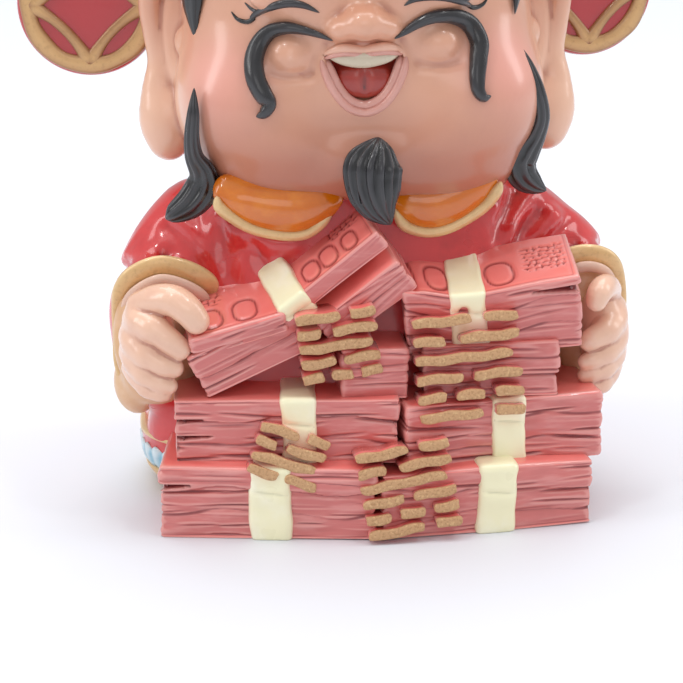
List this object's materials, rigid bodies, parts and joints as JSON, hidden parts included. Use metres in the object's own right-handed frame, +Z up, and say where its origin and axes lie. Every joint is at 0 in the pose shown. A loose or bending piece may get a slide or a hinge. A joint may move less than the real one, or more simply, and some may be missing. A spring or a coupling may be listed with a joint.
{
  "type": "caishen figure",
  "caption": "Small cast resin figure of the laughing god of wealth in a round-winged hat, standing behind banded bundles of banknotes.",
  "frame": {"origin": "centre of the figure's bounding box in plan, on the ground plane it stands on", "axes": "+Z up to the top of the hat, -Y the way the face looks, +X to the right as seen from the front"},
  "size_m": [0.1144, 0.0652, 0.14],
  "materials": {
    "resin": "painted cast polyresin under clear gloss"
  },
  "bodies": {
    "root": {"caishen_figure": "resin"}
  },
  "joints": []
}
